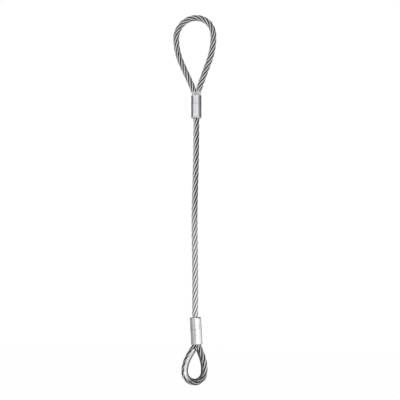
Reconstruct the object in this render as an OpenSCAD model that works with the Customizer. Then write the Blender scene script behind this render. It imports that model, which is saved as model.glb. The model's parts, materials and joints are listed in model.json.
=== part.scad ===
// Single-leg wire rope sling: a soft eye, a thimble eye, and a pressed sleeve under each.
// Frame: origin at the centre of the thimble's crown, +Z up the sling to the soft eye, +Y along the pin.
// The rope is a right-hand lay of six strands round a core. Its centreline stays in the XZ plane, and it
// is cut into short lengths that hinge on each other, because a rope bends everywhere along its length.

/* [Rope] */
// Radius of the circle that just holds the rope, in mm
rope_r = 8.2; // [8:0.1:8.3]
// Number of outer strands
strand_count = 6; // [6:1:6]
// Length of one full turn of a strand, in mm
lay_length = 112; // [100:2:130]
// Half-width of one outer strand, in mm
strand_r = 2.55; // [2.3:0.05:2.6]
// Radius of the core, in mm
core_r = 2.5; // [2:0.1:2.6]

/* [Body] */
// Distance from one sleeve's rope end to the other's, measured up the sling, in mm
body_h = 537; // [400:1:1500]
// Number of bending joints along the body
joint_count = 11; // [7:2:15]
// Largest bend or twist at one joint, either way, in degrees
joint_bend = 30; // [5:1:30]
// How far the body's middle bows to one side, in mm
bow = 3.4; // [0:0.2:6]
// How far the top of the body stands to one side of the thimble's centre, in mm
top_offset = 5.3; // [0:0.1:7]

/* [Upper sleeve] */
// Outside diameter of the upper sleeve, in mm
upper_od = 28.6; // [27.6:0.2:34]
// Length of the upper sleeve, in mm
upper_len = 63.5; // [55:0.5:90]

/* [Lower sleeve] */
// Outside diameter of the lower sleeve, in mm
lower_od = 31; // [30.4:0.2:36]
// Length of the lower sleeve, in mm
lower_len = 72.1; // [60:0.1:100]
// Lean of the lower sleeve from the vertical, in degrees
lower_lean = 3.3; // [0:0.1:4]

/* [Soft eye] */
// Half the width of the soft eye at the rope's centreline, in mm
soft_half_w = 53.8; // [50:0.2:58]
// Height of the soft eye's crown centre above the sleeve, in mm
soft_crown_h = 163.5; // [150:0.5:180]
// Angle of each leg of the soft eye from the sling's line, in degrees
soft_leg_angle = 23; // [21:0.5:23.5]
// Radius of the bend where each leg leaves the upper sleeve, in mm
soft_flare_r = 70; // [60:1:70]
// Half the distance between the legs inside the upper sleeve, in mm
soft_leg_x = 6.2; // [6:0.05:6.25]
// Lean of the soft eye from the vertical, in degrees
soft_lean = 1.7; // [0:0.1:2.5]
// Distance from the upper sleeve to the line on which the soft eye tilts, in mm
tilt_h = 28.5; // [28:0.5:32]
// Largest tilt of the soft eye, either way, in degrees
tilt_bend = 20; // [5:1:20]

/* [Hard eye] */
// Radius of the thimble's bearing surface, in mm
pin_r = 18.7; // [17:0.1:21]
// Distance from the lower sleeve to the centre of the thimble's crown, in mm
hard_crown_h = 72; // [69:0.5:80]
// Angle of each leg of the hard eye from the sling's line, in degrees
hard_leg_angle = 28; // [26:0.5:29]
// Radius of the bend where each leg leaves the lower sleeve, in mm
hard_flare_r = 32; // [30:1:36]
// Half the distance between the legs inside the lower sleeve, in mm
hard_leg_x = 6.8; // [6.5:0.05:6.85]
// Lean of the hard eye from the vertical, in degrees
hard_lean = 5.5; // [0:0.1:6.5]

/* [Thimble] */
// Thickness of the thimble's strip, in mm
thimble_t = 1.4; // [1.2:0.1:1.6]
// How far the groove's edges stay below the rope's centreline, in mm
thimble_edge = 2.3; // [2:0.1:5]

/* [Hidden] */
// Clearance between the rope and the metal round it
fit_gap = 0.25;
// Half the gap between two lengths of rope on the hinge's own line
cut_gap = 0.15;
// Half the gap between an eye's two legs
leg_gap = 0.15;
// Depth to which an eye's legs reach into a sleeve
leg_depth = 13;
// Depth of the pocket that holds the legs
pocket_depth = 14.5;
// Length of the collar that grips the rope at a sleeve's body end
collar_len = 6;
// Radius of a sleeve's rounded end and size of its other end's chamfer
round_r = 4.5;
chamfer = 0.6;
// Overlap of the two hollows cut inside a sleeve
overlap = 0.01;
// How far a cutting shape reaches past the surface that it cuts
cut_margin = 1;
// Thickness of the pressed splice tails, half the angle that each one spans, and the space at its ends
tail_t = 2.4;
tail_half_angle = 22;
tail_gap = 1.5;
// Free space between the end of the live rope and the eye's legs
butt_gap = 2;
// How deep the thimble's bearing surface is flattened into its strip
bearing_flat = 0.35;
// The straight part of each thimble leg laps over the arcs next to it, and is this much thicker
lap = 0.5;
lap_grow = 0.02;
// Height over which the body's heading is measured
heading_step = 0.1;
// Length over which the body straightens as it leaves the leaning sleeve
settle_len = 10;
// Corners of a strand's section, of the core's section, and of a splice tail's faces
strand_corners = 6;
core_corners = 8;
tail_corners = 4;
// Lengths between the sections of a strand, in the body and round the tight thimble eye
body_step = 9.4;
eye_step = 9.4;
tight_step = 6.4;
round_fn = 96;

pitch_r = rope_r - strand_r;
thimble_web = fit_gap + thimble_t - bearing_flat;
crown_r = pin_r + thimble_web + rope_r;
spacing = body_h / joint_count;
segment_count = joint_count - 1;
middle_joint = (joint_count + 1) / 2;

// The lower sleeve's mouth, its body end, and the heights of everything above them
mouth_x = hard_crown_h * sin(hard_lean);
mouth_z = hard_crown_h * cos(hard_lean);
body_x = mouth_x - lower_len * sin(lower_lean);
body_z = mouth_z + lower_len * cos(lower_lean);
upper_z = body_z + body_h;
soft_mouth_z = upper_z + upper_len;
tilt_z = soft_mouth_z + tilt_h;

// The body's slope settles from the lower sleeve's lean to the straight line up the sling
body_rise = top_offset - body_x;
settle = (tan(lower_lean) + body_rise / body_h) / (1 - settle_len / body_h);

rope_segments = [for (i = [1:segment_count]) i];

function segment_name(stem, i) = str(stem, i < 10 ? "0" : "", i);

// ---- Centrelines. A station is [x, z, heading, squeeze, distance along the rope]. ----
// Heading is the angle of the rope's direction from +Z towards +X.

// Sideways place of the rope body at height z, and its heading there
function body_x_at(z) =
    let (d = z - body_z, t = d / body_h, reach = settle * settle_len)
    d <= 0
        ? body_x - d * tan(lower_lean)
        : body_x + (body_rise + reach) * t - reach * (1 - exp(-d / settle_len))
            - bow * pow(sin(180 * min(t, 1)), 4);
function body_heading(z) =
    let (half = heading_step / 2)
    z >= upper_z ? 0 : atan2(body_x_at(z + half) - body_x_at(z - half), heading_step);
function body_station(z) =
    [z >= upper_z ? top_offset : body_x_at(z), z, body_heading(z), 1, z];
function body_stations(z_low, z_high, step) =
    let (n = ceil((z_high - z_low) / step))
    [for (k = [0:n]) body_station(z_low + (z_high - z_low) * k / n)];

// An eye is [leg_x, flare_r, leg_angle, half_w, crown_h]. Each half is a flare, a straight leg,
// a long belly arc and a quarter of the crown.
function belly_r(e) =
    (e[4] - e[1] * sin(e[2]) - (e[3] - e[0] - e[1] * (1 - cos(e[2]))) / tan(e[2])) / tan(e[2] / 2);
function leg_len(e) =
    (e[3] - e[0] - (e[1] + belly_r(e)) * (1 - cos(e[2]))) / sin(e[2]);
function arc_len(r, angle) = r * angle * PI / 180;
function flare_end(e) = arc_len(e[1], e[2]);
function straight_end(e) = flare_end(e) + leg_len(e);
function belly_end(e) = straight_end(e) + arc_len(belly_r(e), e[2]);
function eye_half(e) = belly_end(e) + arc_len(e[3], 90);

// Place and heading at a distance s along the first half, in the eye's own frame
function flare_point(e, a) = [e[0] + e[1] * (1 - cos(a)), e[1] * sin(a), a];
function half_point(e, s) =
    s <= 0 ? [e[0], s, 0]
    : s <= flare_end(e) ? flare_point(e, s / e[1] * 180 / PI)
    : s <= straight_end(e) ?
        let (p = flare_point(e, e[2]), d = s - flare_end(e))
        [p[0] + d * sin(e[2]), p[1] + d * cos(e[2]), e[2]]
    : s <= belly_end(e) ?
        let (r = belly_r(e), a = e[2] - (s - straight_end(e)) / r * 180 / PI)
        [e[3] - r * (1 - cos(a)), e[4] - r * sin(a), a]
    : let (a = (s - belly_end(e)) / e[3] * 180 / PI)
        [e[3] * cos(a), e[4] + e[3] * sin(a), -a];
function eye_point(e, s) =
    s <= eye_half(e)
        ? half_point(e, s)
        : let (p = half_point(e, 2 * eye_half(e) - s)) [-p[0], p[1], 180 - p[2]];

// The legs are pressed flatter where they lie side by side, below the end of the flare
function squeeze_at(e, p) =
    p[1] > e[1] * sin(e[2]) ? 1 : min(1, (abs(p[0]) - leg_gap) * abs(cos(p[2])) / rope_r);
// place is [mouth x, mouth z, turn of the eye, turn of the part inside the sleeve]
function eye_station(e, place, s) =
    let (p = eye_point(e, s), turn = p[1] < 0 ? place[3] : place[2])
    [place[0] + p[0] * cos(turn) + p[1] * sin(turn),
     place[1] - p[0] * sin(turn) + p[1] * cos(turn),
     p[2] + turn, squeeze_at(e, p), s];
function eye_stations(e, place, s_low, s_high, step) =
    let (n = ceil((s_high - s_low) / step))
    [for (k = [0:n]) eye_station(e, place, s_low + (s_high - s_low) * k / n)];

soft_eye = [soft_leg_x, soft_flare_r, soft_leg_angle, soft_half_w, soft_crown_h];
soft_place = [top_offset, soft_mouth_z, -soft_lean, 0];
hard_eye = [hard_leg_x, hard_flare_r, hard_leg_angle, crown_r, hard_crown_h];
hard_place = [mouth_x, mouth_z, 180 + hard_lean, 180 - lower_lean];
// Distance along a leg at which the soft eye's tilting line crosses it
tilt_s = straight_at_height(soft_eye, tilt_h);
soft_length = 2 * eye_half(soft_eye);
hard_length = 2 * eye_half(hard_eye);

function straight_at_height(e, h) =
    flare_end(e) + (h - e[1] * sin(e[2])) / cos(e[2]);

// ---- Sections. A section is a list of [u, v]: u across the rope in its own plane, v along +Y. ----

function strand_section(i, phase) =
    let (a = phase + 360 * i / strand_count)
    [for (j = [0:strand_corners - 1])
        let (b = a + 360 * j / strand_corners)
        [pitch_r * cos(a) + strand_r * cos(b), pitch_r * sin(a) + strand_r * sin(b)]];
function core_section(phase) =
    [for (j = [0:core_corners - 1])
        let (b = phase + 360 * j / core_corners)
        [core_r * cos(b), core_r * sin(b)]];
function tail_section(i, phase) =
    let (a = phase + 360 * (i + 0.5) / strand_count,
         r_in = rope_r + fit_gap,
         step = 2 * tail_half_angle / (tail_corners - 1))
    concat(
        [for (j = [0:tail_corners - 1])
            let (b = a - tail_half_angle + j * step)
            [(r_in + tail_t) * cos(b), (r_in + tail_t) * sin(b)]],
        [for (j = [tail_corners - 1:-1:0])
            let (b = a - tail_half_angle + j * step)
            [r_in * cos(b), r_in * sin(b)]]);
function phase_at(st) = 360 * st[4] / lay_length;

// One corner of a section, placed at a station
function placed(st, uv) =
    [st[0] + uv[0] * st[3] * cos(st[2]), uv[1], st[1] - uv[0] * st[3] * sin(st[2])];

// A cut is [axis, x, z, side, half angle]. It slides a corner along the rope, turning it with the lay,
// until it lies on the roof-shaped face that leaves room for the hinge. An undef cut leaves a square end.
function cut_height(cut, p) =
    cut[2] + cut[3] * (cut_gap + tan(cut[4]) *
        (cut[0] == "y" ? abs(p[0] - cut[1]) : cut[0] == "x" ? abs(p[1]) : 0));
function slid(st, d) = [st[0] + d * sin(st[2]), st[1] + d * cos(st[2]), st[2], st[3], st[4] + d];
function turned(uv, a) = [uv[0] * cos(a) - uv[1] * sin(a), uv[0] * sin(a) + uv[1] * cos(a)];
function cut_distance(st, p, cut) = (cut_height(cut, p) - p[2]) / cos(st[2]);
function trimmed(st, uv, cut) =
    is_undef(cut) ? placed(st, uv)
    : let (d = cut_distance(st, placed(st, uv), cut),
           far = slid(st, d),
           uv_far = turned(uv, 360 * d / lay_length))
        placed(slid(far, cut_distance(far, placed(far, uv_far), cut)), uv_far);

// A closed tube through a list of placed rings of corners
module tube(rings) {
    n = len(rings[0]);
    last = len(rings) - 1;
    polyhedron(
        points = [for (ring = rings) each ring],
        faces = concat(
            [[for (j = [0:n - 1]) j]],
            [[for (j = [n - 1:-1:0]) last * n + j]],
            [for (k = [0:last - 1], j = [0:n - 1])
                let (a = k * n + j, b = k * n + (j + 1) % n)
                each [[a, a + n, b], [b, a + n, b + n]]]));
}

function ring_at(stations, k, section, first_cut, last_cut) =
    let (st = stations[k], cut = k == 0 ? first_cut : k == len(stations) - 1 ? last_cut : undef)
    [for (uv = section) trimmed(st, uv, cut)];

module strands(stations, first_cut = undef, last_cut = undef) {
    for (i = [0:strand_count - 1])
        tube([for (k = [0:len(stations) - 1])
            ring_at(stations, k, strand_section(i, phase_at(stations[k])), first_cut, last_cut)]);
}

module core(stations, first_cut = undef, last_cut = undef) {
    tube([for (k = [0:len(stations) - 1])
        ring_at(stations, k, core_section(phase_at(stations[k])), first_cut, last_cut)]);
}

module tails(stations) {
    for (i = [0:strand_count - 1])
        tube([for (k = [0:len(stations) - 1])
            ring_at(stations, k, tail_section(i, phase_at(stations[k])), undef, undef)]);
}

// ---- Joints along the body, numbered from the top ----

function joint_z(j) = upper_z - (j - 0.5) * spacing;
// Joints bend about Y and X by turns, and the middle one twists about Z
function joint_axis(j) =
    j == middle_joint ? "z" : (j < middle_joint ? j : j + 1) % 2 == 1 ? "y" : "x";
function joint_cut(j, side) =
    [joint_axis(j), body_x_at(joint_z(j)), joint_z(j), side, joint_bend / 2];
function tilt_cut(side) = ["x", 0, tilt_z, side, tilt_bend / 2];

// Rope from joint i down to joint i + 1
function segment_stations(i) = body_stations(joint_z(i + 1), joint_z(i), body_step);

module rope_strands(i) {
    color("silver") strands(segment_stations(i), joint_cut(i + 1, 1), joint_cut(i, -1));
}

module rope_core(i) {
    color("dimgray") core(segment_stations(i), joint_cut(i + 1, 1), joint_cut(i, -1));
}

// ---- Soft eye ----

function soft_loop() = eye_stations(soft_eye, soft_place, tilt_s, soft_length - tilt_s, eye_step);
function throat_leg(first) =
    first
        ? eye_stations(soft_eye, soft_place, -leg_depth, tilt_s, eye_step)
        : eye_stations(soft_eye, soft_place, soft_length - tilt_s, soft_length + leg_depth, eye_step);

module soft_eye_strands() {
    color("silver") strands(soft_loop(), tilt_cut(1), tilt_cut(1));
}

module soft_eye_core() {
    color("dimgray") core(soft_loop(), tilt_cut(1), tilt_cut(1));
}

module upper_throat_strands() {
    color("silver") {
        strands(throat_leg(true), undef, tilt_cut(-1));
        strands(throat_leg(false), tilt_cut(-1), undef);
    }
}

module upper_throat_cores() {
    color("dimgray") {
        core(throat_leg(true), undef, tilt_cut(-1));
        core(throat_leg(false), tilt_cut(-1), undef);
    }
}

// ---- Hard eye ----

function hard_loop() =
    eye_stations(hard_eye, hard_place, -leg_depth, hard_length + leg_depth, tight_step);

module hard_eye_strands() {
    color("silver") strands(hard_loop());
}

module hard_eye_core() {
    color("dimgray") core(hard_loop());
}

// ---- Sleeves. Each is built with its eye-side mouth at the origin and its body end up. ----

module sleeve_outline(od, length) {
    r = od / 2;
    polygon([[0, 0], [r - chamfer, 0], [r, chamfer], [r, length - round_r], [0, length - round_r]]);
    translate([0, length - round_r]) square([r - round_r, round_r]);
    intersection() {
        translate([r - round_r, length - round_r]) circle(r = round_r, $fn = round_fn);
        translate([r - round_r, length - round_r]) square(round_r);
    }
}

// The pocket is as wide as the two pressed legs, and as deep as the rope is thick
module leg_pocket(leg_x) {
    pocket_r = 2 * leg_x - leg_gap + fit_gap;
    slot_x = pocket_r + cut_margin;
    slot_y = rope_r + fit_gap;
    intersection() {
        translate([0, 0, -cut_margin])
            cylinder(r = pocket_r, h = pocket_depth + cut_margin, $fn = round_fn);
        translate([-slot_x, -slot_y, -2 * cut_margin])
            cube([2 * slot_x, 2 * slot_y, pocket_depth + 2 * cut_margin]);
    }
}

module sleeve(od, length, leg_x) {
    cavity_r = rope_r + 2 * fit_gap + tail_t;
    difference() {
        rotate_extrude($fn = round_fn) sleeve_outline(od, length);
        leg_pocket(leg_x);
        translate([0, 0, pocket_depth - overlap])
            cylinder(r = cavity_r, h = length - collar_len - pocket_depth, $fn = round_fn);
        translate([0, 0, pocket_depth])
            cylinder(r = rope_r + fit_gap, h = length, $fn = round_fn);
    }
}

module upper_sleeve() {
    color("gainsboro")
        translate([top_offset, 0, soft_mouth_z])
            rotate([180, 0, 0])
                sleeve(upper_od, upper_len, soft_leg_x);
}

module lower_sleeve() {
    color("gainsboro")
        translate([mouth_x, 0, mouth_z])
            rotate([0, -lower_lean, 0])
                sleeve(lower_od, lower_len, hard_leg_x);
}

// ---- Rope inside the sleeves ----

function upper_live() =
    body_stations(joint_z(1), soft_mouth_z - leg_depth - butt_gap, body_step);
function lower_live() =
    body_stations(mouth_z + (leg_depth + butt_gap) * cos(lower_lean), joint_z(joint_count), body_step);

module upper_live_strands() {
    color("silver") strands(upper_live(), joint_cut(1, 1), undef);
}

module upper_live_core() {
    color("dimgray") core(upper_live(), joint_cut(1, 1), undef);
}

module lower_live_strands() {
    color("silver") strands(lower_live(), undef, joint_cut(joint_count, -1));
}

module lower_live_core() {
    color("dimgray") core(lower_live(), undef, joint_cut(joint_count, -1));
}

module upper_splice_tails() {
    color("darkgray")
        tails(body_stations(upper_z + collar_len + tail_gap,
                            soft_mouth_z - pocket_depth - tail_gap, body_step));
}

module lower_splice_tails() {
    color("darkgray")
        tails(body_stations(mouth_z + (pocket_depth + tail_gap) * cos(lower_lean),
                            body_z - (collar_len + tail_gap) * cos(lower_lean), body_step));
}

// ---- Thimble, built with its crown's centre at the origin and its points up ----

groove_r = rope_r + fit_gap;
thimble_r = groove_r + thimble_t;

// Section of the strip: u is across the rope, away from the pin, with the rope's centre at 0.
// Grow makes the strip a hair thicker all round.
module channel(grow = 0) {
    outer = thimble_r + grow;
    intersection() {
        difference() {
            circle(r = outer, $fn = round_fn);
            circle(r = groove_r - grow, $fn = round_fn);
        }
        translate([-(rope_r + thimble_web + grow), -outer])
            square([rope_r + thimble_web - thimble_edge + 2 * grow, 2 * outer]);
    }
}

// An arc of the strip about an axis along Y: from angle a, through sweep, at radius r of the rope
module channel_arc(centre, r, a, sweep, flip) {
    translate([centre[0], 0, centre[1]])
        rotate([90, 0, 0])
            rotate_extrude(angle = sweep, start = a, $fn = 2 * round_fn)
                translate([r, 0])
                    mirror([flip ? 1 : 0, 0])
                        channel();
}

// Angle at which each leg ends, where its bearing surface meets the other leg's
function tip_angle(e) = acos((e[0] + e[1] - leg_gap - cut_gap) / (e[1] + rope_r + thimble_web));

module thimble_leg() {
    e = hard_eye;
    angle = e[2];
    belly = belly_r(e);
    bottom = [e[3] - belly * (1 - cos(angle)), belly * sin(angle)];
    channel_arc([e[3] - belly, 0], belly, 0, angle, false);
    translate([bottom[0], 0, bottom[1]])
        rotate([0, -angle, 0])
            translate([0, 0, -lap])
                linear_extrude(leg_len(e) + 2 * lap) channel(lap_grow);
    channel_arc([e[0] + e[1], e[4]], e[1], 180 + tip_angle(e), angle - tip_angle(e), true);
}

module thimble() {
    color("lightsteelblue")
        rotate([0, hard_lean, 0]) {
            channel_arc([0, 0], crown_r, 180, 180, false);
            thimble_leg();
            mirror([1, 0, 0]) thimble_leg();
        }
}

// ---- Drawing ----

soft_eye_strands();
soft_eye_core();
upper_throat_strands();
upper_throat_cores();
upper_sleeve();
upper_splice_tails();
upper_live_strands();
upper_live_core();
lower_live_strands();
lower_live_core();
lower_sleeve();
lower_splice_tails();
hard_eye_strands();
hard_eye_core();
thimble();
for (i = rope_segments) {
    rope_strands(i);
    rope_core(i);
}
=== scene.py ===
import json
import math

import bpy
import numpy as np
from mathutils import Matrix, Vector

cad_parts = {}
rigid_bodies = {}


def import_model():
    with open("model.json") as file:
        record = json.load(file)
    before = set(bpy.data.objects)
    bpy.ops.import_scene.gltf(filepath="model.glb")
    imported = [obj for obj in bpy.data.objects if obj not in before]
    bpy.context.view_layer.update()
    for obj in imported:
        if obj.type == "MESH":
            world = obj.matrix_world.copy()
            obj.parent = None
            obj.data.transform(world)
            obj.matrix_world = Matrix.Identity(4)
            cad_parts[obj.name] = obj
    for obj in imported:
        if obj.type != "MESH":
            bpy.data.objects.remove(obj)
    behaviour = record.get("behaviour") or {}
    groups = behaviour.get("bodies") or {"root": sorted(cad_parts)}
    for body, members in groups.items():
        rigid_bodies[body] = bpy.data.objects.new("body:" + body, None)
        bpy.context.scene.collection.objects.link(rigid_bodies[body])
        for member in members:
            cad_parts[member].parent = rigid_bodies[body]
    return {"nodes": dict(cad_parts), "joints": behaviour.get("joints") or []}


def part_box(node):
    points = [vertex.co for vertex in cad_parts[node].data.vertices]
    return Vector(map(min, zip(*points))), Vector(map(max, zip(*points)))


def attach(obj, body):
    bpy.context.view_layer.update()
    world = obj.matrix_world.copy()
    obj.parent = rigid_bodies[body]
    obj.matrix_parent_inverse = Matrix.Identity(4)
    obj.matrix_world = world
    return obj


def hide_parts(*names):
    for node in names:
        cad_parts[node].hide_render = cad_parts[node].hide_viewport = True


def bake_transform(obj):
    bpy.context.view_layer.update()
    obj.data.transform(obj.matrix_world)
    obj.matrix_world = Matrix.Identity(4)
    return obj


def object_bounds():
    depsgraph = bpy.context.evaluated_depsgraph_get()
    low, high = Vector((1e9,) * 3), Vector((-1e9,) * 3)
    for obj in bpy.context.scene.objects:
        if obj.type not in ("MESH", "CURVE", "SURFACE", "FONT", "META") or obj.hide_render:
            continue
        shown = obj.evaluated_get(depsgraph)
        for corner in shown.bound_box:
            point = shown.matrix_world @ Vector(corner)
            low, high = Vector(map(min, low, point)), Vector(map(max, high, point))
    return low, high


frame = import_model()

cad_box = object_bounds()

# ---------------------------------------------------------------------------
# Sizes, in millimetres and degrees. The sling stands up +Z, in the XZ plane,
# with its origin at the centre of the pin that the thimble takes.
# ---------------------------------------------------------------------------
MM = 0.001

# Rope
ROPE_R = 8.2                # radius of the circle that just holds the rope
LAY = 112.0                 # length of one full turn of a strand
STRANDS = 6
STRAND_R = 2.62             # radius of a strand over its outer wires
PITCH_R = ROPE_R - STRAND_R
GROOVE_FROM = (0.87, 0.97)  # shares of the rope's radius: all groove inside, all open strand outside, for the painted shade in the grooves
WIRES = 12                  # outer wires in each strand
POINTS_PER_WIRE = 4
WIRE_RING = 0.8             # radius of the ring that the wires turn on, as a share of the strand's
CORE_R = 2.85               # radius of the core over its lobes
CORE_LOBES = 6
POINTS_PER_LOBE = 4
LOBE_DEPTH = 0.16           # as a share of the core's radius
RING_STEP = 2.43            # length between a strand's rings along the body
EYE_STEP = 2.3              # and round an eye

# Eyes: from the eye's middle to a leg's centreline, flare radius, leg angle, half width, crown height
SOFT_EYE = dict(leg_x=6.2, flare=70.0, angle=23.0, half_w=53.8, crown=163.5)
HARD_EYE = dict(leg_x=6.8, flare=32.0, angle=28.0, half_w=28.2, crown=72.0)
SOFT_LEAN = 1.7             # how far each eye and the lower sleeve lean from upright
HARD_LEAN = 5.5
LOWER_LEAN = 3.3
LEG_GAP = 0.15              # half the gap between an eye's two pressed legs
LEG_DEPTH = 13.0            # how far an eye's legs reach into a sleeve
LIVE_DEPTH = 15.0           # how far short of the sleeve's mouth the live rope stops

# Body
SETTLE_LEN = 10.0           # length over which it straightens above the lower sleeve
BOW = 3.4                   # how far its middle stands off the straight line
HEADING_STEP = 0.1          # height over which its heading is measured

# Sleeves
LOWER_OD, LOWER_LEN = 31.0, 72.1
BORE_R = 8.45               # radius of a sleeve's bore, and of the thimble's groove
COLLAR = 6.0                # length of the bore that grips the rope
CAVITY_R = 11.1             # radius of the hollow round the splice
POCKET = 14.5               # depth of the pocket round the eye's legs
LEG_FIT = 0.2               # clearance of the legs in the pocket
THROAT_R = 5.2              # least radius of the pocket's mouth

# Thimble
THIMBLE_T = 1.4             # thickness of its strip
THIMBLE_EDGE = 2.3          # how far the groove's lips stay below the rope's centreline
PIN_R = 18.7                # radius of the pin that it takes
TIP_GAP = 0.3               # half the space between its two points

# Lightness of the rope, with painted side light and shade, and the pale patch of painted sheen
CLEAN_BELOW = (355, 490)    # the body is lighter below these heights
GREASE = 0.5                # how much darker the body is above them
SIDED = 1.2                 # and how much its left and its right differ there: painted light on the left, painted shade on the right
SOFT_CLEAN = 0.3            # the soft eye is a little lighter than the common amount
HARD_CLEAN = -0.8           # and the hard eye is darker
COAT_H = 12.0               # height of the pale patch on the soft eye's legs, above the sleeve: painted sheen of the strands that the press flattened
COAT_FADE = 2.0             # length over which it ends
COAT_START = (-1.0, 0.5)    # and the heights over which it starts, at the sleeve's mouth

CAMERA_AZIMUTH = 18.0
CAMERA_ELEVATION = -6.0
CAMERA_DISTANCE = 2.9
SENSOR_W = 36.0         # millimetres
VIEW_HEIGHT = 1.08      # metres of the object's plane that fill the picture
SIDE_STEP = 0.0125      # metres by which the view's centre stands right of the sling
VIEW_DROP = 0.2223      # metres from the upper sleeve's body end down to the view's centre

# The studio light: the way it comes from in the camera's own axes (right, up, forward), and its
# brightness from the side away from it to the side facing it
LIGHT_FROM = (-0.03, 0.03, -1.0)
LIGHT_STOPS = [(0.0, 0.03), (0.45, 0.05), (0.62, 0.13), (0.77, 0.45), (0.90, 0.95), (1.0, 0.95)]
LIGHT_STRENGTH = 1.3
# Soft boxes: power, size, and place as azimuth from the front, distance and height, in metres
SOFT_BOXES = [("upper_left", 0.6, (0.34, 0.55), -42.0, 0.75, 0.62),
              ("lower_right", 0.75, (0.55, 0.26), 62.0, 0.6, 0.03),
              ("lower_side", 0.35, (0.36, 0.30), 118.0, 0.6, 0.12)]

rng = np.random.default_rng(16)


def smooth(lo, hi, value):
    t = np.clip((value - lo) / (hi - lo), 0.0, 1.0)
    return t * t * (3 - 2 * t)


# ---------------------------------------------------------------------------
# Places taken from the frame
# ---------------------------------------------------------------------------
chain = [j for j in frame["joints"] if j["name"] != "soft_eye_tilt"]
anchor_z = np.array([j["pos_m"][2] for j in chain]) / MM
top_low, top_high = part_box("upper_sleeve")
UPPER_Z = top_low.z / MM
UPPER_MOUTH_Z = top_high.z / MM
UPPER_LEN = UPPER_MOUTH_Z - UPPER_Z
UPPER_OD = (top_high.y - top_low.y) / MM
TOP_X = (top_low.x + top_high.x) / 2 / MM

hard_lean = math.radians(HARD_LEAN)
lower_lean = math.radians(LOWER_LEAN)
MOUTH_X = HARD_EYE["crown"] * math.sin(hard_lean)
MOUTH_Z = HARD_EYE["crown"] * math.cos(hard_lean)
BODY_X = MOUTH_X - LOWER_LEN * math.sin(lower_lean)
BODY_Z = MOUTH_Z + LOWER_LEN * math.cos(lower_lean)
BODY_H = UPPER_Z - BODY_Z


# ---------------------------------------------------------------------------
# Centrelines. Each returns x, z and the heading from +Z towards +X.
# ---------------------------------------------------------------------------
def body_x(z):
    """Sideways place of the rope body: straight in the leaning sleeve, then settling into a slight bow."""
    rise = TOP_X - BODY_X
    settle = (math.tan(lower_lean) + rise / BODY_H) / (1 - SETTLE_LEN / BODY_H)
    reach = settle * SETTLE_LEN
    d = z - BODY_Z
    t = np.clip(d / BODY_H, 0, 1)
    above = (BODY_X + (rise + reach) * t - reach * (1 - np.exp(-np.maximum(d, 0) / SETTLE_LEN))
             - BOW * np.sin(math.pi * t) ** 4)
    return np.where(d <= 0, BODY_X - d * math.tan(lower_lean), above)


def body_path(z):
    """The body's centreline at the given heights."""
    half = HEADING_STEP / 2
    heading = np.arctan2(body_x(z + half) - body_x(z - half), HEADING_STEP)
    return dict(x=body_x(z), z=z, heading=heading, squeeze=np.ones_like(z), s=z)


class EyePath:
    """Half of an eye is a flare, a straight leg, a long belly arc and a quarter of the crown."""

    def __init__(self, leg_x, flare, angle, half_w, crown):
        self.leg_x, self.flare, self.half_w, self.crown = leg_x, flare, half_w, crown
        self.angle = a = math.radians(angle)
        run = half_w - leg_x - flare * (1 - math.cos(a))
        self.belly = (crown - flare * math.sin(a) - run / math.tan(a)) / math.tan(a / 2)
        self.leg = (run - self.belly * (1 - math.cos(a))) / math.sin(a)
        self.flare_end = flare * a
        self.leg_end = self.flare_end + self.leg
        self.belly_end = self.leg_end + self.belly * a
        self.half = self.belly_end + half_w * math.pi / 2

    def half_point(self, s):
        """Place and heading on the right half, at length s from the mouth."""
        a = self.angle
        if s <= 0:
            return self.leg_x, s, 0.0
        if s <= self.flare_end:
            h = s / self.flare
            return self.leg_x + self.flare * (1 - math.cos(h)), self.flare * math.sin(h), h
        if s <= self.leg_end:
            d = s - self.flare_end
            return (self.leg_x + self.flare * (1 - math.cos(a)) + d * math.sin(a),
                    self.flare * math.sin(a) + d * math.cos(a), a)
        if s <= self.belly_end:
            h = a - (s - self.leg_end) / self.belly
            return (self.half_w - self.belly * (1 - math.cos(h)),
                    self.crown - self.belly * math.sin(h), h)
        h = (s - self.belly_end) / self.half_w
        return self.half_w * math.cos(h), self.crown + self.half_w * math.sin(h), -h

    def point(self, s):
        """Place and heading anywhere on the eye. The left half mirrors the right."""
        if s <= self.half:
            return self.half_point(s)
        x, w, h = self.half_point(2 * self.half - s)
        return -x, w, math.pi - h

    def stations(self, s_values, mouth, turn, turn_inside):
        """The path placed at a sleeve's mouth. Inside the sleeve it follows the sleeve's own lean."""
        rows = []
        for s in s_values:
            x, w, h = self.point(s)
            a = turn_inside if w < 0 else turn
            flared = w > self.flare * math.sin(self.angle)
            squeeze = 1.0 if flared else min(1.0, (abs(x) - LEG_GAP) * abs(math.cos(h)) / ROPE_R)
            rows.append((mouth[0] + x * math.cos(a) + w * math.sin(a),
                         mouth[1] - x * math.sin(a) + w * math.cos(a), h + a, squeeze, s))
        x, z, heading, squeeze, s = np.array(rows).T
        return dict(x=x, z=z, heading=heading, squeeze=squeeze, s=s)


soft_path = EyePath(**SOFT_EYE)
hard_path = EyePath(**HARD_EYE)


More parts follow.
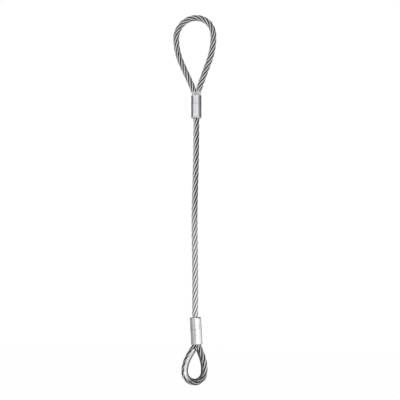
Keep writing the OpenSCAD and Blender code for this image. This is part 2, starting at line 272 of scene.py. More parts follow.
# ---------------------------------------------------------------------------
# Mesh building
# ---------------------------------------------------------------------------
class MeshParts:
    """Collects points, faces and per-point values, then makes one mesh of them."""

    def __init__(self):
        self.points, self.faces, self.flat, self.values = [], [], [], {}
        self.count = 0

    def add(self, points, faces, flat, **values):
        """Flat says which faces are flat. Each value is an array with one number for each point."""
        self.points.append(points)
        self.faces += [tuple(i + self.count for i in f) for f in faces]
        self.flat += flat
        for key, value in values.items():
            self.values.setdefault(key, []).append(value)
        self.count += len(points)

    def build(self, name, material):
        mesh = bpy.data.meshes.new(name)
        mesh.from_pydata((np.concatenate(self.points) * MM).tolist(), [], self.faces)
        mesh.polygons.foreach_set("use_smooth", [not f for f in self.flat])
        for key, parts in self.values.items():
            layer = mesh.attributes.new(key, "FLOAT", "POINT")
            layer.data.foreach_set("value", np.concatenate(parts).astype(np.float32))
        mesh.materials.append(material)
        mesh.update()
        self.sharpen_caps(mesh)
        piece = bpy.data.objects.new(name, mesh)
        bpy.context.scene.collection.objects.link(piece)
        return piece

    @staticmethod
    def sharpen_caps(mesh):
        """A sharp rim round each flat cap, so that the side's shading runs straight to its end."""
        for polygon in mesh.polygons:
            if not polygon.use_smooth:
                for corner in polygon.loop_indices:
                    mesh.edges[mesh.loops[corner].edge_index].use_edge_sharp = True


def tube_faces(rings, n):
    """Quads along a tube of rings of n points, closed by a flat cap at each end."""
    faces = []
    for k in range(rings - 1):
        a, b = k * n, (k + 1) * n
        faces += [(a + j, a + (j + 1) % n, b + (j + 1) % n, b + j) for j in range(n)]
    flat = [False] * len(faces)
    faces.append(tuple(range(n - 1, -1, -1)))
    faces.append(tuple((rings - 1) * n + j for j in range(n)))
    return faces, flat + [True, True]


def wire_profile():
    """A strand's radius at each point of its outline, one bump for each wire, and each point's depth."""
    half = math.pi / WIRES
    wire_r = STRAND_R * math.sin(half) / (1 + math.sin(half))
    ring_r = STRAND_R - wire_r
    radii, valley = [], []
    for k in range(WIRES * POINTS_PER_WIRE):
        off = (k % POINTS_PER_WIRE) / POINTS_PER_WIRE * 2 * half
        off = min(off, 2 * half - off)
        bump = math.sqrt(max(wire_r ** 2 - (ring_r * math.sin(off)) ** 2, 0))
        radii.append(ring_r * math.cos(off) + bump)
        valley.append(off / half)
    return np.array(radii), np.array(valley) ** 2


WIRE_RADII, WIRE_VALLEY = wire_profile()
LAY_SLOPE = 2 * math.pi * PITCH_R / LAY
# Wires turn against the strands, so they lie along the rope
WIRE_TURN = -LAY_SLOPE / (STRAND_R * WIRE_RING)
WIRE_TONE = rng.uniform(0, 1, (STRANDS, WIRES))


def rope_axes(path):
    """Centre of each ring, and the direction across the rope in the sling's plane."""
    across = np.stack([np.cos(path["heading"]), 0 * path["x"], -np.sin(path["heading"])], 1)
    centre = np.stack([path["x"], 0 * path["x"], path["z"]], 1)
    return centre, across


def strand_rings(path, index):
    """Rings of points of one strand, with its wires, and how deep each point lies in the rope."""
    centre, across = rope_axes(path)
    side = np.array([0.0, 1.0, 0.0])
    phase = 2 * math.pi * (path["s"] / LAY + index / STRANDS)
    out = path["squeeze"][:, None] * np.cos(phase)[:, None] * across + np.sin(phase)[:, None] * side
    middle = centre + PITCH_R * out
    along = np.gradient(middle, axis=0)
    along /= np.linalg.norm(along, axis=1)[:, None]
    radial = np.cos(phase)[:, None] * across + np.sin(phase)[:, None] * side
    radial -= (radial * along).sum(1)[:, None] * along
    radial /= np.linalg.norm(radial, axis=1)[:, None]
    bound = np.cross(along, radial)
    n = len(WIRE_RADII)
    angle = (WIRE_TURN * path["s"])[:, None] + (np.arange(n) * 2 * math.pi / n)[None, :]
    offset = WIRE_RADII[None, :, None] * (np.cos(angle)[..., None] * radial[:, None, :]
                                         + np.sin(angle)[..., None] * bound[:, None, :])
    pinch = (1 - path["squeeze"])[:, None] * (offset * across[:, None, :]).sum(2)
    offset = offset - pinch[..., None] * across[:, None, :]
    reach = PITCH_R + WIRE_RADII[None, :] * np.cos(angle)
    lift = WIRE_RADII[None, :] * np.sin(angle)
    depth = 1 - smooth(*GROOVE_FROM, np.hypot(reach, lift) / ROPE_R)
    return middle[:, None, :] + offset, depth


def core_rings(path):
    """Rings of points of the core, whose lobes turn with the strands."""
    centre, across = rope_axes(path)
    side = np.array([0.0, 1.0, 0.0])
    n = CORE_LOBES * POINTS_PER_LOBE
    angle = (2 * math.pi * path["s"] / LAY)[:, None] + (np.arange(n) * 2 * math.pi / n)[None, :]
    lobes = 0.5 - 0.5 * np.cos(np.arange(n) * 2 * math.pi / POINTS_PER_LOBE)
    radius = CORE_R * (1 - LOBE_DEPTH * lobes[None, :])
    u = path["squeeze"][:, None] * radius * np.cos(angle)
    v = radius * np.sin(angle)
    return centre[:, None, :] + u[..., None] * across[:, None, :] + v[..., None] * side


def rope_pieces(name, path, first, last):
    """The six strands as one piece and the core as another, from ring first to ring last of a path."""
    part = slice(first, last + 1)
    none = np.zeros_like(path["s"])
    coat, clean, sided = [path.get(key, none)[part] for key in ("coat", "clean", "sided")]
    strands = MeshParts()
    n = len(WIRE_RADII)
    tone = np.repeat(WIRE_TONE, POINTS_PER_WIRE, axis=1)
    for i in range(STRANDS):
        rings, depth = strand_rings(path, i)
        rings, depth = rings[part], depth[part]
        faces, flat = tube_faces(len(rings), n)
        # Painted light and shade across the rope: lighter on its left, darker on its right
        aside = (path["x"][part, None] - rings[..., 0]) / ROPE_R
        strands.add(rings.reshape(-1, 3), faces, flat, depth=depth.ravel(),
                    valley=np.tile(WIRE_VALLEY, len(rings)), tone=np.tile(tone[i], len(rings)),
                    coat=np.repeat(coat, n), clean=(clean[:, None] + sided[:, None] * aside).ravel())
    core = MeshParts()
    rings = core_rings(path)[part]
    faces, flat = tube_faces(len(rings), rings.shape[1])
    core.add(rings.reshape(-1, 3), faces, flat)
    return strands.build(name + "_wires", wire_steel), core.build(name + "_heart", core_steel)


# ---------------------------------------------------------------------------
# Materials
# ---------------------------------------------------------------------------
BUMP_DISTANCE = 0.0002      # metres
NOISE_ROUGH = 0.6


class Nodes:
    """A material's node tree, with short calls for adding and joining nodes."""

    def __init__(self, name):
        self.material = bpy.data.materials.new(name)
        self.material.use_nodes = True
        self.tree = self.material.node_tree
        self.surface = self.tree.nodes["Principled BSDF"]

    def add(self, kind, inputs=None, **settings):
        """A node with its settings. An input takes a number, a colour or another node's output."""
        node = self.tree.nodes.new(kind)
        for key, value in settings.items():
            setattr(node, key, value)
        for key, value in (inputs or {}).items():
            self.feed(node, key, value)
        return node

    def feed(self, node, key, value):
        if isinstance(value, bpy.types.NodeSocket):
            self.tree.links.new(value, node.inputs[key])
        else:
            node.inputs[key].default_value = value

    def attribute(self, name):
        return self.add("ShaderNodeAttribute", attribute_name=name).outputs["Fac"]

    def noise(self, scale, detail, stretch=(1, 1, 1)):
        place = self.add("ShaderNodeTexCoord").outputs["Object"]
        mapping = self.add("ShaderNodeMapping", {"Vector": place, "Scale": stretch})
        return self.add("ShaderNodeTexNoise", {"Vector": mapping.outputs[0], "Scale": scale,
                                               "Detail": detail, "Roughness": NOISE_ROUGH}).outputs["Fac"]

    def math(self, operation, a, b, clamp=False):
        return self.add("ShaderNodeMath", {0: a, 1: b}, operation=operation, use_clamp=clamp).outputs[0]

    def ramp(self, value, stops):
        node = self.add("ShaderNodeValToRGB", {"Fac": value})
        while len(node.color_ramp.elements) < len(stops):
            node.color_ramp.elements.new(0.5)
        for element, (place, colour) in zip(node.color_ramp.elements, stops):
            element.position = place
            element.color = (*colour, 1)
        return node.outputs["Color"]

    def range(self, value, lo, hi, from_lo=0.0, from_hi=1.0):
        """Carries from_lo to lo and from_hi to hi, and stops there."""
        return self.add("ShaderNodeMapRange", {"Value": value, "From Min": from_lo, "From Max": from_hi,
                                               "To Min": lo, "To Max": hi}).outputs["Result"]

    def mix(self, factor, a, b):
        """Colour a, then b as factor rises to 1. The node keeps its colour sockets at 6 and 7."""
        node = self.add("ShaderNodeMix", data_type="RGBA")
        for socket, value in ((node.inputs[0], factor), (node.inputs[6], a), (node.inputs[7], b)):
            if isinstance(value, bpy.types.NodeSocket):
                self.tree.links.new(value, socket)
            else:
                socket.default_value = (*value, 1) if isinstance(value, tuple) else value
        return node.outputs[2]

    def finish(self, colour, roughness, metallic, height, strength):
        bump = self.add("ShaderNodeBump", {"Height": height, "Strength": strength, "Distance": BUMP_DISTANCE})
        self.feed(self.surface, "Base Color", colour)
        self.feed(self.surface, "Roughness", roughness)
        self.feed(self.surface, "Metallic", metallic)
        self.feed(self.surface, "Normal", bump.outputs["Normal"])
        return self.material


COAT_COLOUR = (0.84, 0.91, 0.95)
WIPED_COLOUR = (1.0, 1.0, 1.0)
SEAM_COLOUR = (0.16, 0.16, 0.17)
WORN_COLOUR = (0.92, 0.92, 0.93)
SPANGLE_COLOUR = (0.99, 0.99, 1.0)
GRIME_COLOUR = (0.06, 0.063, 0.067)
LIP_COLOUR = (0.95, 0.95, 0.96)


def grey(value):
    return (value, value, value)


def wire_material(name, dark, mid, light):
    """Bright drawn wire: each wire a little different, with painted shade, in the colour dark, in the grooves
    between them.
    Lightness runs from -1, where the groove shade spreads furthest, to 1, lightened most towards white."""
    m = Nodes(name)
    patches = m.noise(90.0, 4.0)
    grain = m.noise(2600.0, 2.0, (1, 1, 0.25))
    base = m.ramp(patches, [(0.3, mid), (0.7, light)])
    toned = m.mix(m.range(m.attribute("tone"), 0.0, 0.35), base, mid)
    clean = m.attribute("clean")
    wiped = m.mix(m.range(clean, 0.0, 0.85, 0.0, 1.0), toned, WIPED_COLOUR)
    # Painted shade in the grooves between the strands and between the wires
    grease = m.math("MAXIMUM", m.attribute("depth"), m.math("MULTIPLY", m.attribute("valley"), 0.4))
    # The lower the lightness, the further the painted groove shade climbs out of its grooves
    groove = m.math("MULTIPLY", grease, m.range(clean, 1.55, 0.66, -1.0, 1.0), clamp=True)
    bare = m.mix(m.range(groove, 0.0, 0.95), wiped, dark)
    # The pale patch of painted sheen where the press flattened the strands
    coat = m.math("MULTIPLY", m.attribute("coat"), m.range(patches, 0.8, 1.0))
    colour = m.mix(coat, bare, COAT_COLOUR)
    rough = m.math("ADD", m.range(patches, 0.26, 0.42), m.math("MULTIPLY", groove, 0.3), clamp=True)
    metal = m.math("SUBTRACT", m.range(groove, 0.95, 0.55), m.math("MULTIPLY", coat, 0.7), clamp=True)
    return m.finish(colour, rough, metal, grain, 0.15)


def sleeve_material(name, light, shade, dull_colour):
    """Smooth pressed steel: faint lengthwise drag marks, dark marks along the seams partly in painted shade,
    lighter rims from rubbing and painted highlight, and one side darker with painted shade.
    """
    m = Nodes(name)
    patches = m.noise(35.0, 4.0)
    drag = m.noise(420.0, 3.0, (1, 1, 0.06))
    fine = m.noise(3000.0, 2.0)
    base = m.ramp(patches, [(0.3, shade), (0.62, light)])
    streaked = m.mix(m.range(drag, 0.0, 0.22, 0.45, 0.7), base, shade)
    # The side with painted shade
    dulled = m.mix(m.attribute("dull"), streaked, dull_colour)
    # Dark marks: the flash, and painted shade in the crease, the nicks and where the bites meet
    seamed = m.mix(m.math("MULTIPLY", m.attribute("seam"), 0.75), dulled, SEAM_COLOUR)
    # Rubbed wear and painted highlight, lightened towards white
    worn = m.mix(m.math("MULTIPLY", m.attribute("edge"), 0.6), seamed, WORN_COLOUR)
    rough = m.math("ADD", m.range(patches, 0.32, 0.42), m.math("MULTIPLY", m.attribute("dull"), 0.1))
    height = m.math("ADD", m.math("MULTIPLY", drag, 0.7), m.math("MULTIPLY", fine, 0.3))
    return m.finish(worn, rough, 0.9, height, 0.12)


def thimble_material():
    """Hot-dip galvanised strip: faint spangle, painted shade where it bears and on its far half, and a
    painted highlight at its lips.
    """
    m = Nodes("galvanised_strip")
    place = m.add("ShaderNodeTexCoord").outputs["Object"]
    cells = m.add("ShaderNodeTexVoronoi", {"Vector": place, "Scale": 320.0})
    spangle = m.add("ShaderNodeSeparateColor", {"Color": cells.outputs["Color"]}).outputs[0]
    patches = m.noise(60.0, 4.0)
    base = m.ramp(patches, [(0.3, (0.88, 0.89, 0.91)), (0.7, (0.97, 0.97, 0.98))])
    spangled = m.mix(m.range(spangle, 0.0, 0.3), base, SPANGLE_COLOUR)
    # Painted shade on the bearing faces and over the far half
    rubbed = m.mix(m.attribute("bearing"), spangled, GRIME_COLOUR)
    # The lips' painted highlight
    worn = m.mix(m.math("MULTIPLY", m.attribute("edge"), 0.8), rubbed, LIP_COLOUR)
    rough = m.range(spangle, 0.16, 0.28)
    return m.finish(worn, rough, 0.3, m.noise(1500.0, 3.0), 0.15)


wire_steel = wire_material("bright_wire", grey(0.02), grey(0.68), grey(0.95))
core_steel = wire_material("greased_core", grey(0.02), grey(0.10), grey(0.16))
# The last colour of each sleeve is its side with painted shade
upper_metal = sleeve_material("pressed_sleeve_upper", (0.80, 0.79, 0.83), (0.66, 0.65, 0.69),
                              (0.58, 0.57, 0.61))
lower_metal = sleeve_material("pressed_sleeve_lower", (0.92, 0.92, 0.95), (0.82, 0.82, 0.85),
                              (0.74, 0.75, 0.75))
strip_metal = thimble_material()


# ---------------------------------------------------------------------------
# Sleeves, each built from its eye-side mouth at 0 to its body end at its length.
# A place below 0 is counted back from the body end.
# ---------------------------------------------------------------------------
SLEEVE_SIDES = 192
BARREL_RINGS = 84
EDGE_RINGS = 6
ROUND_RINGS = 12
FACE_RINGS = 6              # across the mouth's flat face
ROUND_R = 4.5               # rounded body end
EDGE_R = 0.7                # rounded edge of the mouth
RIM_FLARE, RIM_DEPTH = 0.45, 1.2        # how far the pocket's edge opens at the mouth, and from what depth
RIM_MID = (0.12, 0.35)      # how far it has opened at a middle depth
BORE_EDGE = 0.5             # rounded edge of the bore at the body end
BEVEL = 0.3                 # where the bore opens into the hollow
LEDGE, LEDGE_BEVEL = 0.4, 0.6           # step between the hollow and the pocket, and the bevel below it
MARKS_FADE = (3.0, ROUND_R + 1.5)       # how far from the mouth and the body end the press's marks are full
BITE_DEPTH = 0.22           # how far each bite of the press draws the barrel in
BITES_FROM, BITES_TO = 0.03, 0.95       # shares of the length where the bites start and end
STEP_W = 2.0                # half width of the painted shade between the two bites
OVAL = 0.10                 # how far the press leaves the barrel out of round
SKIN = 0.32                 # the barrel is this much thinner, so that its ridge stays inside the outline
RIDGE, RIDGE_W = 0.32, 0.55             # height and half width of the seam's ridge
TROUGH, TROUGH_W = 0.10, 0.9            # depth and half width of the trough on each side of it
TROUGH_AT = 1.9
CREASE, CREASE_AT, CREASE_W = 0.45, 0.75, 0.35      # strength, place and half width of the painted shade of a crease beside it
NOTCH = 0.75                # depth of the nicks at the seam's two ends
NOTCH_W = 0.9
NOTCHES = ((2.2, 1.1), (-4.2, 1.6))     # place and half length of each
FLASH_W = 1.2               # half widths of the dark mark that the flash leaves and of the painted shade in the nicks
NICK_MARK_W = 1.5
STEP_MARK = 0.3             # strength of the painted shade between the two bites
# Rings lightened towards white: the narrow ones at the mouth's lip and the rounded end are rubbed wear, the
# two wide ones near both ends a painted highlight
RUBBED_RINGS = ((0.0, 0.8, 1.0), (-0.6 * ROUND_R, 1.2, 0.5),        # place, half width and strength
                (0.0, 7.0, 0.4), (-10.0, 5.0, 0.4))
RIDGE_WEAR, RIDGE_WEAR_W = 0.35, 0.5    # strength and half width of the rubbed line on the seam's ridge
INSIDE_WEAR = 0.25          # how rubbed the inside and the mouth's face are
DULL_EDGE = 0.06            # half width of the change to the side with painted shade, as the sine of its angle


def legs_outline(leg_x, angle):
    """Radius of the mouth's opening, which closes in between the two pressed legs."""
    half_w = leg_x - LEG_GAP + LEG_FIT
    half_h = ROPE_R + LEG_FIT
    c, s = np.abs(np.cos(angle)), np.abs(np.sin(angle))
    a = (c / half_w) ** 2 + (s / half_h) ** 2
    b = -2 * leg_x * c / half_w ** 2
    d = b * b - 4 * a * ((leg_x / half_w) ** 2 - 1)
    reach = np.where(d > 0, (-b + np.sqrt(np.maximum(d, 0))) / (2 * a), 0)
    return np.maximum(reach, THROAT_R)


def sleeve_profile(od, length):
    """Radius and height of the outside, from the mouth's rim, up the barrel and over the rounded end."""
    r = od / 2
    rows = [(r - EDGE_R + EDGE_R * math.sin(t), EDGE_R - EDGE_R * math.cos(t))
            for t in np.linspace(0, math.pi / 2, EDGE_RINGS)]
    barrel_end = length - ROUND_R
    rows += [(r, w) for w in np.linspace(EDGE_R, barrel_end, BARREL_RINGS)[1:-1]]
    rows += [(r - ROUND_R + ROUND_R * math.cos(t), barrel_end + ROUND_R * math.sin(t))
             for t in np.linspace(0, math.pi / 2, ROUND_RINGS)]
    return rows


def bell(distance, half_width):
    return np.exp(-(distance / half_width) ** 2)


def bite_shape(t, start, end):
    """Rises from 0 at the bite's start to 1 at its middle, and falls back to 0 at its end."""
    return math.sin(math.pi * min(max((t - start) / (end - start), 0), 1)) ** 2


def from_place(w, place, length):
    """How far height w is past a place on the sleeve."""
    return w - place if place >= 0 else w - length - place


def flash_strength(w):
    """The flash comes and goes along the seam."""
    return 0.6 + 0.4 * math.sin(w * 0.31 + 1.0) * math.sin(w * 0.83)


def barrel_row(w, length, bite, flash, apart, out_of_round):
    """At height w, for each side: how far the surface stands out, its dark marks with their painted shade,
    and its lightening by wear from rubbing and painted highlight.
    """
    t = w / length
    on_barrel = smooth(0, MARKS_FADE[0], w) * smooth(0, MARKS_FADE[1], length - w)
    waist = BITE_DEPTH * (bite_shape(t, BITES_FROM, bite) + bite_shape(t, bite, BITES_TO))
    ridge = RIDGE * bell(apart, RIDGE_W) - TROUGH * bell(apart - TROUGH_AT, TROUGH_W)
    nick = sum(bell(from_place(w, place, length), half) for place, half in NOTCHES)
    out = on_barrel * (ridge - waist + out_of_round - SKIN) - NOTCH * nick * bell(apart, NOTCH_W)

    # The flash's dark line, and painted shade in the crease beside it, in the nicks and where the two bites
    # meet
    line = flash * flash_strength(w) * bell(apart, FLASH_W) + CREASE * bell(apart - CREASE_AT, CREASE_W)
    step = STEP_MARK * bell(w - bite * length, STEP_W)
    seam = line * on_barrel + nick * bell(apart, NICK_MARK_W) + step

    # Rubbed wear at the lip and the rounded end, a painted highlight near both ends, and wear on the seam's
    # ridge
    rim = sum(strength * bell(from_place(w, place, length), half) for place, half, strength in RUBBED_RINGS)
    rubbed = min(rim, 1.0) + RIDGE_WEAR * bell(apart, RIDGE_WEAR_W) * on_barrel
    return out, np.clip(seam, 0, 1), np.clip(rubbed, 0, 1)


def inside_rows(opening, r, length):
    """Radius and height of the inside: rounded end, bore, hollow, pocket and the mouth's flat face."""
    inner = r - ROUND_R
    rows = [(inner + (BORE_R + BORE_EDGE - inner) * k / 3, length) for k in (1, 2, 3)]
    rows += [(BORE_R + 0.24 * BORE_EDGE, length - 0.3 * BORE_EDGE), (BORE_R, length - BORE_EDGE),
             (BORE_R, length - COLLAR + BEVEL), (BORE_R + BEVEL, length - COLLAR),
             (CAVITY_R, length - COLLAR - BEVEL), (CAVITY_R, POCKET + LEDGE), (BORE_R + LEDGE, POCKET)]
    rows += [(opening, POCKET - LEDGE_BEVEL), (opening, POCKET / 2), (opening, RIM_DEPTH),
             (opening + RIM_MID[0], RIM_MID[1]), (opening + RIM_FLARE, 0.0)]
    rim_in, rim_out = opening + RIM_FLARE, r - EDGE_R
    rows += [(rim_in + (rim_out - rim_in) * k / FACE_RINGS, 0.0) for k in range(1, FACE_RINGS)]
    return rows


def sleeve_piece(name, od, length, leg_x, seams, dull_side, bite, flash, material, place):
    """Two bites of the press meet at bite of the length. Flash is how strongly the seams' lines show.
    The shaded side gives the angle where the half with painted shade starts, and how strong that shade is."""
    angle = np.arange(SLEEVE_SIDES) * 2 * math.pi / SLEEVE_SIDES
    r = od / 2
    apart = np.min([np.abs(np.angle(np.exp(1j * (angle - s)))) for s in seams], axis=0) * r
    out_of_round = OVAL * np.cos(2 * (angle - seams[0]))
    all_round = np.ones(SLEEVE_SIDES)
    grid, seam_rows, edge_rows = [], [], []
    for radius, w in sleeve_profile(od, length):
        out, seam, rubbed = barrel_row(w, length, bite, flash, apart, out_of_round)
        grid.append((radius + out, w * all_round))
        seam_rows.append(seam)
        edge_rows.append(rubbed)
    for radius, w in inside_rows(legs_outline(leg_x, angle), r, length):
        grid.append((radius * all_round, w * all_round))
        seam_rows.append(0 * all_round)
        edge_rows.append(INSIDE_WEAR * all_round)
    rows = len(grid)
    local = np.array([np.stack([rad * np.cos(angle), rad * np.sin(angle), w], 1) for rad, w in grid])
    # The side with painted shade, which is also a little rougher
    dull = smooth(-DULL_EDGE, DULL_EDGE, np.sin(angle - dull_side[0])) * dull_side[1]
    faces = []
    for k in range(rows):
        a, b = k * SLEEVE_SIDES, (k + 1) % rows * SLEEVE_SIDES
        faces += [(a + j, a + (j + 1) % SLEEVE_SIDES, b + (j + 1) % SLEEVE_SIDES, b + j)
                  for j in range(SLEEVE_SIDES)]
    parts = MeshParts()
    parts.add(place(local.reshape(-1, 3)), faces, [False] * len(faces),
              seam=np.concatenate(seam_rows), edge=np.concatenate(edge_rows), dull=np.tile(dull, rows))
    return parts.build(name, material)


def place_upper(p):
    """Mouth up: a half turn about the X axis."""
    return np.stack([TOP_X + p[:, 0], -p[:, 1], UPPER_MOUTH_Z - p[:, 2]], 1)


def place_lower(p):
    """Mouth down, leaning with the lower end."""
    c, s = math.cos(-lower_lean), math.sin(-lower_lean)
    return np.stack([MOUTH_X + p[:, 0] * c + p[:, 2] * s, p[:, 1], MOUTH_Z - p[:, 0] * s + p[:, 2] * c], 1)


def facing(azimuth):
    """Angle about +Z of a direction that is azimuth degrees round from -Y towards +X."""
    return math.radians(azimuth - 90)


upper_seam = -facing(14)
upper_sleeve = sleeve_piece("upper_sleeve_shell", UPPER_OD, UPPER_LEN, SOFT_EYE["leg_x"],
                            seams=(upper_seam, upper_seam + math.pi), dull_side=(upper_seam, 0.15),
                            bite=0.36, flash=0.25, material=upper_metal, place=place_upper)
lower_seam = facing(5)
lower_sleeve = sleeve_piece("lower_sleeve_shell", LOWER_OD, LOWER_LEN, HARD_EYE["leg_x"],
                            seams=(lower_seam, lower_seam + math.pi), dull_side=(lower_seam + math.pi, 0.6),
                            bite=0.55, flash=1.3, material=lower_metal, place=place_lower)
for shell, body, node in ((upper_sleeve, "upper_end", "upper_sleeve"),
                          (lower_sleeve, "lower_end", "lower_sleeve")):
    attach(shell, body)
    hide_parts(node)


# ---------------------------------------------------------------------------
# Thimble: a grooved strip swept along the inside of the hard eye
# ---------------------------------------------------------------------------
GROOVE_POINTS = 41          # across each side of the groove
BEAD_STEPS = 7              # round each lip's bead
THIMBLE_RINGS = 150
RUBBED = 0.75               # how dark the painted shade on the bearing surfaces is
GRIME = 0.95                # and the painted shade on the far half of the strip
GRIMY_FROM = (0.33, 0.51)   # shares of the strip's length where that painted shade starts and is full
LIP_SHINE = (0.25, 0.12)    # widths of each lip's painted highlight on the pin's side and in the groove, in radians
PIN_MARK = (0.45, 0.85)     # half angles where the painted shade on the face towards the pin starts to fade and ends


def channel_section():
    """Closed outline of the strip: u away from the pin, v along it, with the rope's centre at 0."""
    outer_r = BORE_R + THIMBLE_T
    land = PIN_R - HARD_EYE["half_w"]
    lip = math.acos(THIMBLE_EDGE / (BORE_R + THIMBLE_T / 2))
    # Masks of the lips' painted highlight and of the painted shade on the faces towards the pin and the rope
    points, edge, bearing = [], [], []
    for t in np.linspace(-lip, lip, GROOVE_POINTS):
        u, v = -outer_r * math.cos(t), outer_r * math.sin(t)
        points.append((max(u, land), v))
        edge.append(bell(abs(t) - lip, LIP_SHINE[0]))
        bearing.append(1 - smooth(*PIN_MARK, abs(t)))
    bead = THIMBLE_T / 2
    for side in (1, -1):
        out = np.array([-math.cos(lip), side * math.sin(lip)])
        tangent = np.array([math.sin(lip), side * math.cos(lip)])
        for k in range(1, BEAD_STEPS):
            a = math.pi * k / BEAD_STEPS
            turned = out * math.cos(a) * side + tangent * math.sin(a)
            points.append(tuple((BORE_R + bead) * out + bead * turned))
            edge.append(1.0)
            bearing.append(0.0)
        if side == 1:
            for t in np.linspace(lip, -lip, GROOVE_POINTS):
                points.append((-BORE_R * math.cos(t), BORE_R * math.sin(t)))
                edge.append(bell(abs(t) - lip, LIP_SHINE[1]))
                bearing.append(1.0)
    return np.array(points), np.array(edge), np.array(bearing)


def thimble_piece():
    """The strip from one point to the other. The end past the crown carries painted shade."""
    section, edge, bearing = channel_section()
    land = HARD_EYE["half_w"] - PIN_R
    reach = HARD_EYE["flare"] + land
    tip = math.acos((HARD_EYE["leg_x"] + HARD_EYE["flare"] - TIP_GAP) / reach)
    s_tip = HARD_EYE["flare"] * tip
    s = np.linspace(s_tip, 2 * hard_path.half - s_tip, THIMBLE_RINGS)
    path = hard_path.stations(s, (MOUTH_X, MOUTH_Z), math.pi + hard_lean, math.pi - lower_lean)
    centre, across = rope_axes(path)
    rings = (centre[:, None, :] + section[None, :, 0, None] * across[:, None, :]
             + section[None, :, 1, None] * np.array([0.0, 1.0, 0.0]))
    faces, flat = tube_faces(len(rings), len(section))
    along = np.linspace(0, 1, len(rings))
    # Painted shade over the far half of the strip and on its bearing faces; the lips' painted highlight fades
    # out there
    grime = GRIME * smooth(*GRIMY_FROM, along)
    rubbed = np.maximum(RUBBED * bearing[None, :], grime[:, None])
    parts = MeshParts()
    parts.add(rings.reshape(-1, 3), faces, flat, bearing=rubbed.ravel(),
              edge=(edge[None, :] * (1 - grime[:, None])).ravel())
    return parts.build("thimble_strip", strip_metal)


thimble = thimble_piece()
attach(thimble, "lower_end")
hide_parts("thimble")


# ---------------------------------------------------------------------------
# Rope: the two eyes, and one piece of the body across each joint
# ---------------------------------------------------------------------------
def finish_rope(strand_nodes, core_nodes):
    """Hides the frame's nodes that the two pieces stand in for."""
    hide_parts(*strand_nodes)
    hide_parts(*core_nodes)


def eye_piece(name, path, mouth, turn, turn_inside, coat, clean):
    """An eye's whole rope, with its legs' ends inside the sleeve."""
    length = 2 * path.half + 2 * LEG_DEPTH
    steps = int(round(length / EYE_STEP))
    s = np.linspace(-LEG_DEPTH, 2 * path.half + LEG_DEPTH, steps + 1)
    stations = path.stations(s, mouth, turn, turn_inside)
    from_mouth = np.minimum(s, 2 * path.half - s)
    # The pale patch of painted sheen on the legs, from the sleeve's mouth up
    coated = smooth(*COAT_START, from_mouth) * (1 - smooth(COAT_H - COAT_FADE, COAT_H, from_mouth))
    stations["coat"] = coat * coated
    stations["clean"] = np.full_like(s, clean)
    return rope_pieces(name, stations, 0, steps)


soft_strands, soft_core = eye_piece("soft_eye", soft_path, (TOP_X, UPPER_MOUTH_Z),
                                    -math.radians(SOFT_LEAN), 0.0, coat=1.0, clean=SOFT_CLEAN)
for piece in (soft_strands, soft_core):
    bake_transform(piece)
finish_rope(["soft_eye_strands", "upper_throat_strands"],
            ["soft_eye_core", "upper_throat_cores"])

hard_strands, hard_core = eye_piece("hard_eye", hard_path, (MOUTH_X, MOUTH_Z),
                                    math.pi + hard_lean, math.pi - lower_lean, coat=0.0, clean=HARD_CLEAN)
for piece in (hard_strands, hard_core):
    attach(piece, "lower_end")
finish_rope(["hard_eye_strands"], ["hard_eye_core"])

# The body's rings run down from inside the upper sleeve to inside the lower one, and the cuts between
# pieces fall on rings half way between joints
cuts = [UPPER_MOUTH_Z - LIVE_DEPTH, *((anchor_z[:-1] + anchor_z[1:]) / 2),
        MOUTH_Z + LIVE_DEPTH * math.cos(lower_lean)]
heights, marks = [cuts[0]], [0]
for top, bottom in zip(cuts[:-1], cuts[1:]):
    steps = int(math.ceil((top - bottom) / RING_STEP))
    heights += list(np.linspace(top, bottom, steps + 1)[1:])
    marks.append(marks[-1] + steps)
order = np.array(heights)[::-1]
body_stations = body_path(order)
# Lighter below, darker above, and above that painted light on the left and painted shade on the right
greasy = smooth(*CLEAN_BELOW, body_stations["z"])
body_stations["clean"] = 1 - GREASE * greasy
body_stations["sided"] = SIDED * greasy
last_ring = len(order) - 1

for k, joint in enumerate(chain):
    high, low = last_ring - marks[k], last_ring - marks[k + 1]
    strands, core = rope_pieces(f"rope_{k + 1:02d}", body_stations, low, high)
    bodies = (joint["parent"], joint["child"])
    for piece in (strands, core):
        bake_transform(piece)
    strand_nodes = [body.replace("rope_", "rope_strands_") for body in bodies]
    strand_nodes = [node for node in strand_nodes if node in frame["nodes"]]
    core_nodes = [node.replace("strands", "core") for node in strand_nodes]
    if k == 0:
        strand_nodes.append("upper_live_strands")
        core_nodes.append("upper_live_core")
    if k == len(chain) - 1:
        strand_nodes.append("lower_live_strands")
        core_nodes.append("lower_live_core")
    finish_rope(strand_nodes, core_nodes)

# The splice tails stay as the frame's own solids, hidden inside the sleeves
tail_metal = wire_material("pressed_tails", grey(0.05), grey(0.34), grey(0.5))
for node in ("upper_splice_tails", "lower_splice_tails"):
    frame["nodes"][node].data.materials.clear()
    frame["nodes"][node].data.materials.append(tail_metal)


# ---------------------------------------------------------------------------
# Floor, light and camera
# ---------------------------------------------------------------------------
FLOOR_HALF, FLOOR_DROP = 6.0, 0.12      # metres: half the floor's width, and its distance below the sling
FLOOR_GLOW = (0.35, 0.99)               # share of plain white, for other rays and for the camera's


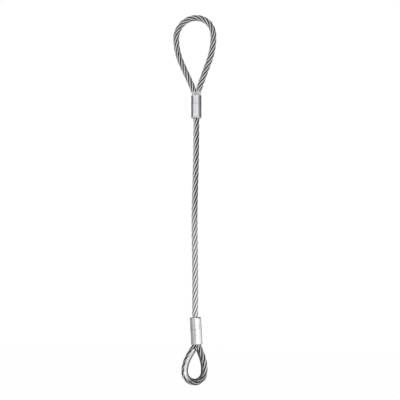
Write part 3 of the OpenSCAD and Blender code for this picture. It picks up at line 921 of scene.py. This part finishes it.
def pale_floor():
    """A plain pale floor below the sling."""
    h, z = FLOOR_HALF, cad_box[0][2] - FLOOR_DROP
    mesh = bpy.data.meshes.new("floor")
    mesh.from_pydata([(-h, -h, z), (h, -h, z), (h, h, z), (-h, h, z)], [], [(0, 1, 2, 3)])
    m = Nodes("pale_floor")
    m.feed(m.surface, "Base Color", (0.93, 0.93, 0.93, 1))
    m.feed(m.surface, "Roughness", 0.8)
    glow = m.add("ShaderNodeEmission", {"Color": (1, 1, 1, 1), "Strength": 1.0})
    seen = m.add("ShaderNodeLightPath").outputs["Is Camera Ray"]
    share = m.range(seen, *FLOOR_GLOW)
    both = m.add("ShaderNodeMixShader", {0: share, 1: m.surface.outputs[0], 2: glow.outputs[0]})
    m.tree.links.new(both.outputs[0], m.tree.nodes["Material Output"].inputs["Surface"])
    mesh.materials.append(m.material)
    floor = bpy.data.objects.new("floor", mesh)
    bpy.context.scene.collection.objects.link(floor)


def studio_world():
    """White where the camera sees it. For light and reflections it is a broad soft light round the camera
    that falls off to dark at the sling's sides and behind it."""
    world = bpy.data.worlds.new("studio")
    bpy.context.scene.world = world
    world.use_nodes = True
    tree = world.node_tree
    tree.nodes.clear()
    link = tree.links.new
    direction = tree.nodes.new("ShaderNodeTexCoord").outputs["Generated"]
    turn = tree.nodes.new("ShaderNodeVectorTransform")
    turn.vector_type, turn.convert_from, turn.convert_to = "VECTOR", "WORLD", "CAMERA"
    link(direction, turn.inputs[0])
    towards = tree.nodes.new("ShaderNodeVectorMath")
    towards.operation = "DOT_PRODUCT"
    towards.inputs[1].default_value = LIGHT_FROM
    link(turn.outputs[0], towards.inputs[0])
    share = tree.nodes.new("ShaderNodeMapRange")
    share.inputs["From Min"].default_value = -1.0
    link(towards.outputs["Value"], share.inputs["Value"])
    glow = tree.nodes.new("ShaderNodeValToRGB")
    link(share.outputs["Result"], glow.inputs["Fac"])
    while len(glow.color_ramp.elements) < len(LIGHT_STOPS):
        glow.color_ramp.elements.new(0.5)
    for element, (place, value) in zip(glow.color_ramp.elements, LIGHT_STOPS):
        element.position = place
        element.color = (value, value, value, 1)
    soft_box = tree.nodes.new("ShaderNodeBackground")
    link(glow.outputs["Color"], soft_box.inputs["Color"])
    soft_box.inputs["Strength"].default_value = LIGHT_STRENGTH
    white = tree.nodes.new("ShaderNodeBackground")
    white.inputs["Color"].default_value = (1, 1, 1, 1)
    both = tree.nodes.new("ShaderNodeMixShader")
    seen = tree.nodes.new("ShaderNodeLightPath")
    link(seen.outputs["Is Camera Ray"], both.inputs[0])
    link(soft_box.outputs[0], both.inputs[1])
    link(white.outputs[0], both.inputs[2])
    out = tree.nodes.new("ShaderNodeOutputWorld")
    link(both.outputs[0], out.inputs["Surface"])


def soft_box_lamps():
    """Each lamp stands upright and faces the Z axis."""
    for name, power, size, azimuth, distance, height in SOFT_BOXES:
        data = bpy.data.lights.new(name, "AREA")
        data.energy = power
        data.shape = "RECTANGLE"
        data.size, data.size_y = size
        lamp = bpy.data.objects.new(name, data)
        bpy.context.scene.collection.objects.link(lamp)
        a = math.radians(azimuth)
        lamp.location = (distance * math.sin(a), -distance * math.cos(a), height)
        lamp.rotation_euler = (math.pi / 2, 0, a)


def studio_camera():
    """A long lens, so that the sling stands almost without perspective."""
    azimuth, elevation = math.radians(CAMERA_AZIMUTH), math.radians(CAMERA_ELEVATION)
    right = np.array([math.cos(azimuth), math.sin(azimuth), 0])
    back = np.array([math.sin(azimuth) * math.cos(elevation), -math.cos(azimuth) * math.cos(elevation),
                     math.sin(elevation)])
    target = np.array([TOP_X * MM / 2, 0, UPPER_Z * MM - VIEW_DROP]) + right * SIDE_STEP
    data = bpy.data.cameras.new("camera")
    data.sensor_width = SENSOR_W
    data.lens = data.sensor_width * CAMERA_DISTANCE / VIEW_HEIGHT
    camera = bpy.data.objects.new("camera", data)
    bpy.context.scene.collection.objects.link(camera)
    camera.location = target + back * CAMERA_DISTANCE
    camera.rotation_euler = (math.pi / 2 - elevation, 0, azimuth)
    bpy.context.scene.camera = camera


pale_floor()
studio_world()
soft_box_lamps()
studio_camera()
bpy.context.scene.view_settings.view_transform = "Standard"
